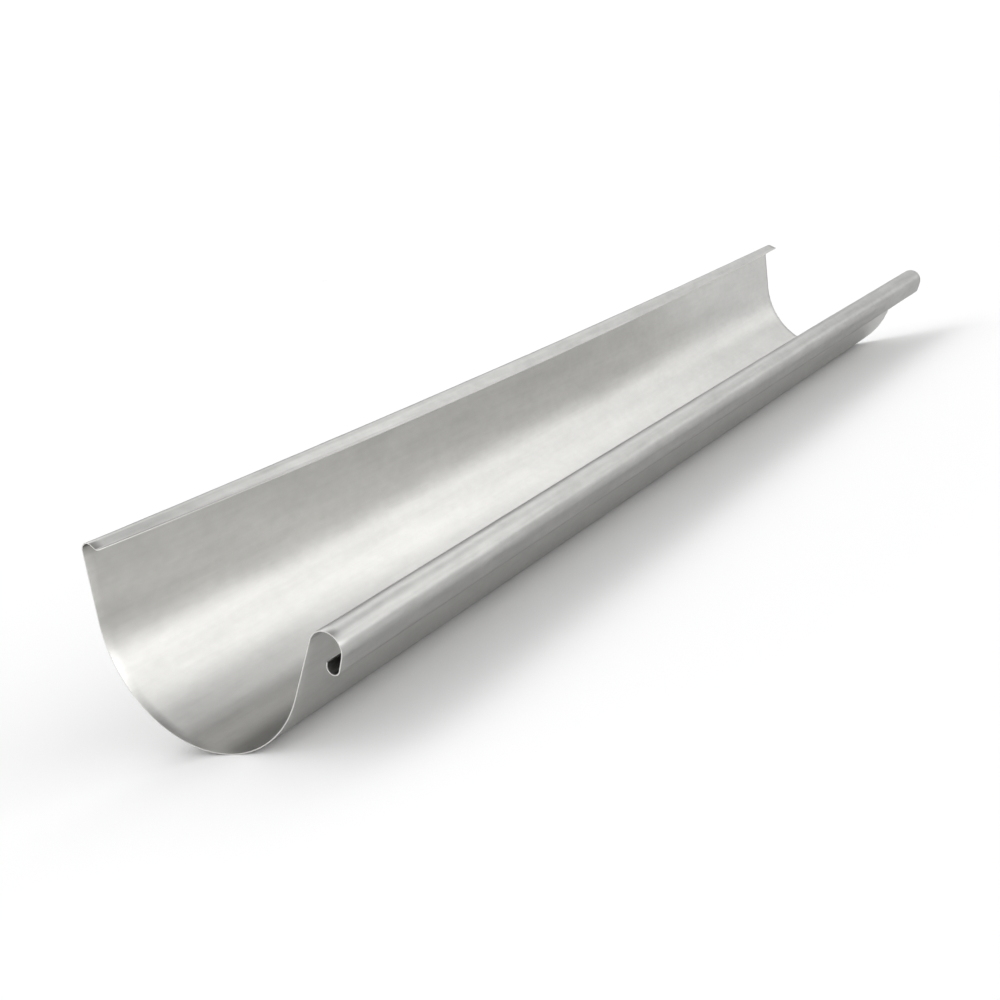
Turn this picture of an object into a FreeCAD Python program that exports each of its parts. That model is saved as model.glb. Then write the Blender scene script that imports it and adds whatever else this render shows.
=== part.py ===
"""Half-round eaves gutter: one straight length, folded and rolled from a single strip of zinc-coated sheet.

The section is one bend table, from the folded-in rear edge, round the trough, to the lip inside the front
bead. Both faces of the sheet follow it half a thickness away. All sizes are in millimetres and degrees.
The gutter runs along Y with its bead towards +X, and it lies on the floor as it would settle by itself.
"""
import FreeCAD, Part
import math
import os
from collections import namedtuple

LENGTH = 1000.0
SHEET_THICKNESS = 0.65

# The folded-in rear edge
REAR_FLANGE_WIDTH = 7.0
REAR_FOLD_INSIDE_RADIUS = 4.2
REAR_FOLD_ANGLE = 136.0

# The trough: two walls that lean outwards, joined by one round bottom
REAR_WALL_HEIGHT = 41.0
REAR_WALL_LEAN = 10.5
TROUGH_INSIDE_RADIUS = 69.5
FRONT_WALL_HEIGHT = 38.0
FRONT_WALL_LEAN = 18.0

# The open bead along the front, rolled outwards, and the lip that turns back up into it
BEAD_OUTSIDE_DIAMETER = 20.5
BEAD_ANGLE = 175.0
BEAD_TAIL_LENGTH = 7.5
LIP_TURN_INSIDE_RADIUS = 3.6
LIP_TURN_ANGLE = 179.0
LIP_LENGTH = 1.5

HALF_SHEET = SHEET_THICKNESS / 2
TO_THE_LEFT = 1
TO_THE_RIGHT = -1

Straight = namedtuple("Straight", "length")
Bend = namedtuple("Bend", "middle_radius angle side")


def trough_bend():
    """The round bottom, which leaves both walls leaning outwards."""
    return Bend(TROUGH_INSIDE_RADIUS + HALF_SHEET, 180 - REAR_WALL_LEAN - FRONT_WALL_LEAN, TO_THE_LEFT)


def bend_table():
    """The sheet's middle line from its rear edge to its front edge, as straights and tangent bends."""
    return [
        Straight(REAR_FLANGE_WIDTH),
        Bend(REAR_FOLD_INSIDE_RADIUS + HALF_SHEET, REAR_FOLD_ANGLE, TO_THE_LEFT),
        Straight(REAR_WALL_HEIGHT),
        trough_bend(),
        Straight(FRONT_WALL_HEIGHT),
        Bend(BEAD_OUTSIDE_DIAMETER / 2 - HALF_SHEET, BEAD_ANGLE, TO_THE_RIGHT),
        Straight(BEAD_TAIL_LENGTH),
        Bend(LIP_TURN_INSIDE_RADIUS + HALF_SHEET, LIP_TURN_ANGLE, TO_THE_RIGHT),
        Straight(LIP_LENGTH),
    ]


def direction(heading):
    """A unit vector in the section's plane, with heading 0 along +X and 90 along +Z."""
    angle = math.radians(heading)
    return FreeCAD.Vector(math.cos(angle), 0, math.sin(angle))


def turned(point, centre, angle):
    """The point turned about the centre in the section's plane, from +X towards +Z."""
    about_y = FreeCAD.Rotation(FreeCAD.Vector(0, 1, 0), -angle)
    return centre + about_y.multVec(point - centre)


def sheet_face(table, first_heading, offset):
    """One face of the sheet, offset to the left of the middle line, as edges in the order of travel."""
    middle = FreeCAD.Vector(0, 0, 0)
    heading = first_heading
    edges = []
    for step in table:
        left = direction(heading + 90)
        start = middle + left * offset
        if isinstance(step, Straight):
            run = direction(heading) * step.length
            edges.append(Part.LineSegment(start, start + run).toShape())
            middle = middle + run
        else:
            centre = middle + left * step.middle_radius * step.side
            turn = step.angle * step.side
            half_way = turned(start, centre, turn / 2)
            edges.append(Part.Arc(start, half_way, turned(start, centre, turn)).toShape())
            middle = turned(middle, centre, turn)
            heading = heading + turn
    return edges


def section():
    """The cut section of the sheet as a flat face, and the centre of its trough."""
    table = bend_table()
    first_heading = REAR_WALL_LEAN - 90 - REAR_FOLD_ANGLE
    inside = sheet_face(table, first_heading, HALF_SHEET)
    outside = sheet_face(table, first_heading, -HALF_SHEET)
    rear_cut = Part.LineSegment(outside[0].firstVertex().Point, inside[0].firstVertex().Point).toShape()
    front_cut = Part.LineSegment(inside[-1].lastVertex().Point, outside[-1].lastVertex().Point).toShape()
    trough = inside[table.index(trough_bend())].Curve
    wire = Part.Wire(Part.__sortEdges__([rear_cut, *inside, front_cut, *outside]))
    return Part.Face(wire), trough.Center


def settled(gutter, trough_centre):
    """The gutter rolled on its round bottom until its weight hangs straight under the trough's centre."""
    hang = gutter.CenterOfMass - trough_centre
    roll = math.degrees(math.atan2(hang.x, -hang.z))
    rolled = gutter.copy()
    rolled.rotate(trough_centre, FreeCAD.Vector(0, 1, 0), roll)
    box = rolled.BoundBox
    rolled.translate(FreeCAD.Vector(-box.Center.x, -box.Center.y, -box.ZMin))
    return rolled


def gutter_section():
    """The whole length, lying on the floor with its origin at the middle of its underside."""
    face, trough_centre = section()
    gutter = face.extrude(FreeCAD.Vector(0, LENGTH, 0))
    return settled(gutter, trough_centre)


os.makedirs("parts", exist_ok=True)
gutter_section().exportStep("parts/gutter_section.step")
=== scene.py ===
"""Half-round eaves gutter: one length of bare zinc-coated sheet, lying on a white floor in soft light."""
import math

import bpy
import numpy as np
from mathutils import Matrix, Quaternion, Vector


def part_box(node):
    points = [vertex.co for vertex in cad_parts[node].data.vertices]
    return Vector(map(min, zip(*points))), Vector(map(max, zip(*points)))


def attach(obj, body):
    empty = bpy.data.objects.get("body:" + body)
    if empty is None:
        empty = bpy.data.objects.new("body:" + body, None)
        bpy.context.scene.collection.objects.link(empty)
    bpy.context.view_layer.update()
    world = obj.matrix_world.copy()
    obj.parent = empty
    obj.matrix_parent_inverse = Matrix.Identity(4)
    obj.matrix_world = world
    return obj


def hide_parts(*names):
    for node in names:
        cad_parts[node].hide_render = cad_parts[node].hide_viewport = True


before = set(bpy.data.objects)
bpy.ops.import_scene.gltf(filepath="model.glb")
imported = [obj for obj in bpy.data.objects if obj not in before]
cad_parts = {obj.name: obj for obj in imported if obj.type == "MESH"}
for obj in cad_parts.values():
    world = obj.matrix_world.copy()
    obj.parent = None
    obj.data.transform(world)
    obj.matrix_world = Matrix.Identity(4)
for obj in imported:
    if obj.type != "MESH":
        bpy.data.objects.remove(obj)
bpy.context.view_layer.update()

# The gutter section. It is one strip of zinc-coated steel sheet, run through rollers that fold in its rear
# edge, round its trough and curl its front edge into an open bead with a turned-back lip. Both ends are cut
# square, and the folds have sprung a little, so the section is not quite the same all along.
MM = 0.001
sheet = 0.65 * MM
cut_rounding = 0.1 * MM

rear_flange = 7.0 * MM
flange_tip = 1.7 * MM
tip_curl_radius = 2.2 * MM
rear_fold_radius = 4.2 * MM + sheet / 2
rear_fold = math.radians(136)
rear_wall = 41.0 * MM
rear_lean = math.radians(10.5)
trough_radius = 69.5 * MM + sheet / 2
front_wall = 38.0 * MM
front_lean = math.radians(18)
bead_radius = 20.5 / 2 * MM - sheet / 2
bead_turn = math.radians(175)
bead_tail = 7.5 * MM
lip_turn_radius = 3.6 * MM + sheet / 2
lip_turn = math.radians(179)
lip = 1.5 * MM

# Lying free, the section has rolled forwards on its round bottom, because the bead outweighs the rear edge
roll = math.radians(17.68)

# How far three bends stray from the straight section at the near end, at mid-length and at the far end, and
# how much the flange's tip is curled up there
rear_lean_stray = [math.radians(angle) for angle in (-1.86, 1.64, -2.46)]
rear_fold_stray = [math.radians(angle) for angle in (-9.2, 18.0, -17.5)]
front_lean_stray = [math.radians(angle) for angle in (0.40, -1.11, -0.79)]
tip_curl = [math.radians(angle) for angle in (43, 20, 5)]

# How many rows of bends come before the trough's round bottom
before_trough = 5

# The floor touches the round bottom, and the trough's rear side is the rear end of the node's box
low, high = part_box("gutter_section")
trough_centre = np.array([low.x + trough_radius + sheet / 2, trough_radius + sheet / 2])


def along(values, share):
    """A smooth value along the length, from its sizes at the near end, at mid-length and at the far end."""
    near, middle, far = values
    near_part = near * (1 - share) * (1 - 2 * share)
    far_part = far * share * (2 * share - 1)
    return near_part + middle * 4 * share * (1 - share) + far_part


def bends(share):
    """The strip at a share of the length, from rear edge to lip, as rows of run, turn, steps and work.

    The work is 1 where the rollers bend the sheet tightly and 0 where they leave it nearly as it came.
    """
    rear = rear_lean + along(rear_lean_stray, share)
    fold = rear_fold + along(rear_fold_stray, share)
    front = front_lean + along(front_lean_stray, share)
    curl = along(tip_curl, share)
    curl_run = tip_curl_radius * curl
    round_bottom = math.pi - rear - front
    rows = [
        (flange_tip, 0, 3, 1),
        (curl_run, -curl, 6, 1),
        (rear_flange - flange_tip - curl_run, 0, 4, 1),
        (rear_fold_radius * fold, fold, 16, 1),
        (rear_wall, 0, 10, 0),
        (trough_radius * round_bottom, round_bottom, 60, 0),
        (front_wall, 0, 10, 0),
        (bead_radius * bead_turn, -bead_turn, 40, 1),
        (bead_tail, 0, 4, 1),
        (lip_turn_radius * lip_turn, -lip_turn, 18, 1),
        (lip, 0, 2, 1),
    ]
    first_heading = rear - math.pi / 2 - fold + curl - roll
    return rows, first_heading


def middle_line(share):
    """The sheet's middle line, resting on the floor, as ways along it, points, headings and work."""
    rows, first_heading = bends(share)
    ways, points, headings, works = [0.0], [np.zeros(2)], [first_heading], [1]
    for run, turn, steps, work in rows:
        half = turn / steps / 2
        chord = run / steps * (math.sin(half) / half if half else 1)
        for _ in range(steps):
            ahead = headings[-1] + half
            points.append(points[-1] + chord * np.array([math.cos(ahead), math.sin(ahead)]))
            headings.append(ahead + half)
            ways.append(ways[-1] + run / steps)
            works.append(work)
    points, headings = np.array(points), np.array(headings)
    bottom = sum(steps for _, _, steps, _ in rows[:before_trough])
    inwards = np.array([-math.sin(headings[bottom]), math.cos(headings[bottom])])
    points += trough_centre - (points[bottom] + trough_radius * inwards)
    return np.array(ways), points, headings, np.array(works, float)


# The hollows that rolling leaves, as waves of a depth, a length across the strip, one along it and a start.
# The long ones run over the whole sheet, and the short ones only where it is bent tightly.
hollows = [(0.035 * MM, 0.061, 0.37, 0.0), (0.035 * MM, 0.094, -0.23, 1.3)]
dents = [(0.02 * MM, 0.027, 0.058, 0.7), (0.02 * MM, -0.05, 0.041, 0.0)]


def waves(rows, ways, y):
    """The sum of some waves over the sheet."""
    return sum(depth * np.sin(2 * math.pi * (ways / across + y / lengthwise) + begin)
               for depth, across, lengthwise, begin in rows)


def relief(ways, work, y):
    """How far the sheet stands off its true section."""
    return waves(hollows, ways, y) + work * waves(dents, ways, y)


# The middle of a rounded edge lies this share of its rounding in from each face
half_round = 0.29


def skin(ways, inset):
    """The closed outline of the cut sheet, as ways along the strip and distances from its middle."""
    half = sheet / 2 - inset
    corner = cut_rounding - inset
    nick = corner * half_round
    end = ways[-1]
    inner_ways = [0, nick, corner, *ways[1:-1], end - corner, end - nick, end]
    inner_out = [half - corner, half - nick, *[half] * len(ways), half - nick, half - corner]
    return np.array(inner_ways + inner_ways[::-1]), np.array(inner_out + [-out for out in inner_out[::-1]])


# Rings of corners along the length, as rows of place and inset. Both cut ends are square, and each edge is
# rounded by a tenth of a millimetre, so that it catches the light.
full_cut = 0.99 * cut_rounding
part_cut = half_round * cut_rounding
rings_between = 150
body = [(y, 0.0) for y in np.linspace(low.y + cut_rounding, high.y - cut_rounding, rings_between)]
near_cut = [(low.y, full_cut), (low.y + part_cut, part_cut)]
far_cut = [(high.y - part_cut, part_cut), (high.y, full_cut)]

corners, strip, worked, bare = [], [], [], []
for y, inset in near_cut + body + far_cut:
    ways, points, headings, works = middle_line((y - low.y) / (high.y - low.y))
    skin_ways, out = skin(ways, inset)
    turned = np.interp(skin_ways, ways, headings)
    work = np.interp(skin_ways, ways, works)
    out = out + relief(skin_ways, work, y)
    across = np.interp(skin_ways, ways, points[:, 0]) - out * np.sin(turned)
    up = np.interp(skin_ways, ways, points[:, 1]) + out * np.cos(turned)
    corners.append(np.column_stack([across, np.full(len(out), y), up]))
    strip.append(np.column_stack([skin_ways, np.full(len(out), y), np.sign(out)]))
    worked.append(work)
    edge = np.minimum(skin_ways, ways[-1] - skin_ways) < 0.5 * cut_rounding
    bare.append(np.where(edge | (inset > 0), 1.0, 0.0))

# Four-sided faces between the rings, and a strip of them over each cut end
rings, ring = len(corners), len(corners[0])
faces = []
for row in range(rings - 1):
    for k in range(ring):
        after = (k + 1) % ring
        faces.append([row * ring + k, row * ring + after, (row + 1) * ring + after, (row + 1) * ring + k])
for row in (0, rings - 1):
    for k in range(ring // 2 - 1):
        cap = [row * ring + j for j in (k, ring - 1 - k, ring - 2 - k, k + 1)]
        faces.append(cap if row == 0 else cap[::-1])

mesh = bpy.data.meshes.new("gutter_sheet")
mesh.from_pydata(np.concatenate(corners).tolist(), [], faces)
mesh.shade_smooth()
mesh.set_sharp_from_angle(angle=math.radians(35))
mesh.attributes.new("strip", "FLOAT_VECTOR", "POINT")
mesh.attributes["strip"].data.foreach_set("vector", np.concatenate(strip).ravel())
for name, values in (("worked", worked), ("bare", bare)):
    mesh.attributes.new(name, "FLOAT", "POINT")
    mesh.attributes[name].data.foreach_set("value", np.concatenate(values))
gutter = bpy.data.objects.new("gutter_sheet", mesh)
bpy.context.collection.objects.link(gutter)


class Wire:
    """A socket in a material's nodes. Sums written on it add Math nodes, and node() adds any other kind."""

    def __init__(self, tree, socket=None):
        self.tree = tree
        self.socket = socket

    def node(self, kind, settings=None, inputs=None, output=0):
        """One of the outputs of a new node, which is set up first and then fed with values or wires."""
        node = self.tree.nodes.new(kind)
        for name, value in (settings or {}).items():
            setattr(node, name, value)
        for name, value in (inputs or {}).items():
            if isinstance(value, Wire):
                self.tree.links.new(value.socket, node.inputs[name])
            else:
                node.inputs[name].default_value = value
        return Wire(self.tree, node.outputs[output] if node.outputs else None)

    def maths(self, operation, first, second):
        return self.node("ShaderNodeMath", {"operation": operation}, {0: first, 1: second})

    def __add__(self, other):
        return self.maths("ADD", self, other)

    def __sub__(self, other):
        return self.maths("SUBTRACT", self, other)

    def __rsub__(self, other):
        return self.maths("SUBTRACT", other, self)

    def __mul__(self, other):
        return self.maths("MULTIPLY", self, other)

    def __rpow__(self, other):
        return self.maths("POWER", other, self)

    __radd__ = __add__
    __rmul__ = __mul__


def material(name):
    """A new material without any nodes, and the wire that adds them."""
    made = bpy.data.materials.new(name)
    made.use_nodes = True
    made.node_tree.nodes.clear()
    return made, Wire(made.node_tree)


# Smooth zinc, a little warm. The rollers leave faint streaks along the length, the zinc is mottled, and
# where the sheet is bent tightly it is duller and less even, and its colour is darker. A little of that
# darkening is the worked zinc's own; most of it is painted shade, standing in for the dark reflections
# along the bead. The cut edges are bare steel.
zinc_pale = (0.62, 0.616, 0.6, 1)
zinc_dark = (0.49, 0.487, 0.474, 1)
# The two colours of the tightly bent sheet are darker than the trough's, mostly as painted shade that
# stands in for the bead's dark reflections
bent_pale_with_painted_shade = (0.48, 0.478, 0.466, 1)
bent_dark_with_painted_shade = (0.36, 0.358, 0.349, 1)
cut_steel = (0.74, 0.73, 0.71, 1)

zinc, zinc_nodes = material("zinc_coat")
strip_place = zinc_nodes.node("ShaderNodeAttribute", {"attribute_name": "strip"}, output="Vector")
work = zinc_nodes.node("ShaderNodeAttribute", {"attribute_name": "worked"}, output="Fac")
bare_edge = zinc_nodes.node("ShaderNodeAttribute", {"attribute_name": "bare"}, output="Fac")


def noise(drawn_out, scale):
    """A cloudy pattern on the strip, stretched along the gutter where drawn_out is below 1."""
    stretch = (1.0, drawn_out, 0.2)
    place = zinc_nodes.node("ShaderNodeVectorMath", {"operation": "MULTIPLY"}, {0: strip_place, 1: stretch})
    return zinc_nodes.node("ShaderNodeTexNoise", None, {"Vector": place, "Scale": scale, "Detail": 2.0})


def mixed(factor, first, second):
    """A colour between two others."""
    inputs = {"Factor": factor, "A": first, "B": second}
    return zinc_nodes.node("ShaderNodeMix", {"data_type": "RGBA"}, inputs, output="Result")


broad_streaks = noise(0.06, 60.0)
fine_streaks = noise(0.05, 380.0)
clouds = noise(0.45, 45.0)
crystals = noise(0.55, 190.0)

uneven = 0.8 * broad_streaks + 0.5 * fine_streaks + 0.8 * clouds + 0.6 * crystals - 0.85
patches = 0.8 * crystals + 1.0 * clouds + 1.0 * fine_streaks - 0.9
# Where the sheet is bent tightly the coat takes the darker colours: mostly painted shade, a little the
# worked zinc's own dullness
coat = mixed(work, mixed(uneven, zinc_dark, zinc_pale), mixed(patches, bent_dark_with_painted_shade, bent_pale_with_painted_shade))
height = 0.28 * broad_streaks + 0.35 * clouds + 0.03 * fine_streaks + (0.05 + 0.04 * work) * crystals
bump = {"Strength": 1.0, "Distance": 0.25 * MM, "Height": height}
surface = zinc_nodes.node("ShaderNodeBsdfPrincipled", None, {
    "Base Color": mixed(bare_edge, coat, cut_steel),
    "Metallic": 1.0,
    "Specular Tint": (0.7, 0.7, 0.7, 1),
    "Roughness": 0.29 + 0.04 * uneven + 0.02 * work + 0.1 * bare_edge,
    "Normal": zinc_nodes.node("ShaderNodeBump", None, bump),
})
zinc_nodes.node("ShaderNodeOutputMaterial", None, {"Surface": surface})
mesh.materials.append(zinc)

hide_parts("gutter_section")
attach(gutter, "root")

# The floor, a wide flat sheet of white board that runs on to the foot of the studio's wall. The gutter lies
# on it, and its shadow falls there.
reach = 60.0
board_corners = [(-reach, -reach, 0), (reach, -reach, 0), (reach, reach, 0), (-reach, reach, 0)]
board = bpy.data.meshes.new("floor")
board.from_pydata(board_corners, [], [(0, 1, 2, 3)])
floor = bpy.data.objects.new("floor", board)
bpy.context.collection.objects.link(floor)
white_board, board_nodes = material("white_board")
board_nodes.node("ShaderNodeOutputMaterial", None, {
    "Surface": board_nodes.node("ShaderNodeBsdfDiffuse", None, {"Color": (0.95, 0.95, 0.95, 1)}),
})
board.materials.append(white_board)

# The studio: a dark room with large soft lamps, far enough off to light the whole length alike. A low white
# wall runs all round it, higher on the gutter's rear side. The lamps are rows of how far each is off the
# gutter's own direction, how far round it from its front over the top and how far it spreads, all in
# degrees, and how bright it is.
room_light = 0.06
wall_light = 0.94
wall_full = math.sin(math.radians(9.5))
wall_gone = math.sin(math.radians(12.5))
rear_slope = 0.335
rear_full = -0.01
rear_gone = 0.05
lamps = [
    (80, 3, 20, 1.5),
    (80, 25, 16, 0.6),
    (62, 3, 14, 0.35),
    (44, 30, 12, 0.55),
    (42, 45, 12, 1.2),
    (38, 68, 13, 0.45),
    (40, 101, 12, 0.9),
    (30, 105, 12, 0.7),
    (25, 90, 12, 0.3),
    (50, 125, 14, 0.5),
    (70, 125, 15, 1.5),
    (80, 127, 18, 0.7),
    (100, 125, 18, 0.6),
    (130, 140, 16, 0.4),
    (112, 30, 25, 1.45),
    (128, 115, 25, 0.3),
]

world = bpy.data.worlds.new("studio")
bpy.context.scene.world = world
world.use_nodes = True
world.node_tree.nodes.clear()
sky = Wire(world.node_tree)
towards = sky.node("ShaderNodeTexCoord", output="Generated")
right = sky.node("ShaderNodeSeparateXYZ", None, {0: towards}, output="X")
upwards = sky.node("ShaderNodeSeparateXYZ", None, {0: towards}, output="Z")


def fading(value, full, gone):
    """1 where a value is below full, falling smoothly to 0 where it is above gone."""
    inputs = {"Value": value, "From Min": gone, "From Max": full}
    return sky.node("ShaderNodeMapRange", {"interpolation_type": "SMOOTHSTEP"}, inputs)


low_wall = fading(upwards, wall_full, wall_gone)
high_wall = fading(upwards + rear_slope * right, rear_full, rear_gone)
light = room_light + wall_light * (low_wall + high_wall * (1 - low_wall))
for off, round_it, spread, brightness in lamps:
    off, round_it, spread = math.radians(off), math.radians(round_it), math.radians(spread)
    place = (math.sin(off) * math.cos(round_it), math.cos(off), math.sin(off) * math.sin(round_it))
    inputs = {0: towards, 1: place}
    nearness = sky.node("ShaderNodeVectorMath", {"operation": "DOT_PRODUCT"}, inputs, output="Value")
    light = light + brightness * math.e ** ((nearness - 1) * (1 / spread ** 2))
sky.node("ShaderNodeOutputWorld", None, {
    "Surface": sky.node("ShaderNodeBackground", None, {"Color": (1, 1, 1, 1), "Strength": light}),
})

# The camera, low beside the near end and looking along the gutter. It is tipped to its left, because the
# gutter lies here as it settles on a floor, rolled forwards on its round bottom.
camera = bpy.data.objects.new("camera", bpy.data.cameras.new("camera"))
bpy.context.collection.objects.link(camera)
camera.data.lens = 51.126
camera.data.sensor_width = 36
camera.data.clip_start = 0.01
camera.location = (0.545286, -0.987637, 0.226042)
ahead = Vector((-0.570040, 0.801116, -0.182394))
tipped = Quaternion((0, 0, 1), math.radians(-16.0))
camera.rotation_mode = "QUATERNION"
camera.rotation_quaternion = ahead.to_track_quat("-Z", "Y") @ tipped
bpy.context.scene.camera = camera
bpy.context.scene.view_settings.view_transform = "Standard"
